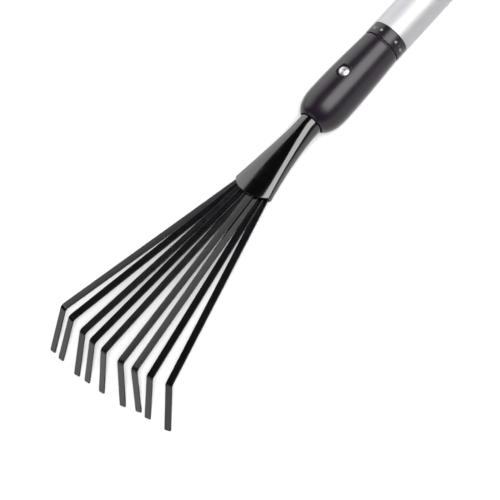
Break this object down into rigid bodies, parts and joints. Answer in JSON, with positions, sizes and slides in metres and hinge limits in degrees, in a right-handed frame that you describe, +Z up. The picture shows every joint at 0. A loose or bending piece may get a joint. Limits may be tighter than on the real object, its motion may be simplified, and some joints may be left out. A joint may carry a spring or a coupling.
{
  "type": "leaf rake",
  "caption": "Hand leaf rake with a fan of bent spring tines in a flared ferrule on a twist-lock telescopic handle.",
  "frame": {"origin": "centre of the bounding box's footprint, on the ground the rake lies on", "axes": "+Y along the tool from the tines to the hanging hole, +X across the fan, +Z up out of the tines' upper faces"},
  "size_m": [0.1097, 0.6653, 0.0469],
  "materials": {
    "anodised_tube": "satin silver anodised",
    "collar_plastic": "smooth satin black",
    "grip_rubber": "matt, ribbed",
    "cap_plastic": "satin black",
    "cam_ring_plastic": "moulded acetal",
    "plug_plastic": "moulded nylon",
    "zinc_steel": "zinc plated",
    "socket_plastic": "satin black, fine moulded",
    "stainless_screw": "bright turned",
    "ferrule_paint": "gloss black paint on pressed steel",
    "tine_paint": "satin black paint on spring steel"
  },
  "bodies": {
    "handle": {"outer_tube": "anodised_tube", "lock_collar": "collar_plastic", "grip": "grip_rubber", "end_cap": "cap_plastic"},
    "cam_carrier": {"cam_ring": "cam_ring_plastic"},
    "head": {"cam_plug": "plug_plastic", "plug_pin": "zinc_steel", "inner_tube": "anodised_tube", "socket": "socket_plastic", "neck_bush": "plug_plastic", "head_screw": "stainless_screw", "head_nut": "zinc_steel", "ferrule": "ferrule_paint", "tine_1": "tine_paint", "tine_2": "tine_paint", "tine_3": "tine_paint", "tine_4": "tine_paint", "tine_5": "tine_paint", "tine_6": "tine_paint", "tine_7": "tine_paint", "tine_8": "tine_paint", "tine_9": "tine_paint"}
  },
  "joints": [
    {"name": "telescope_slide", "type": "slide", "parent": "handle", "child": "cam_carrier", "axis": [0, -0.9994, 0.0344], "range_m": [0, 0.24]},
    {"name": "lock_twist", "type": "hinge", "parent": "cam_carrier", "child": "head", "pos_m": [-0.00092, 0.27072, 0.01859], "axis": [0, -0.9994, 0.0344], "range_deg": [0, 90]}
  ]
}
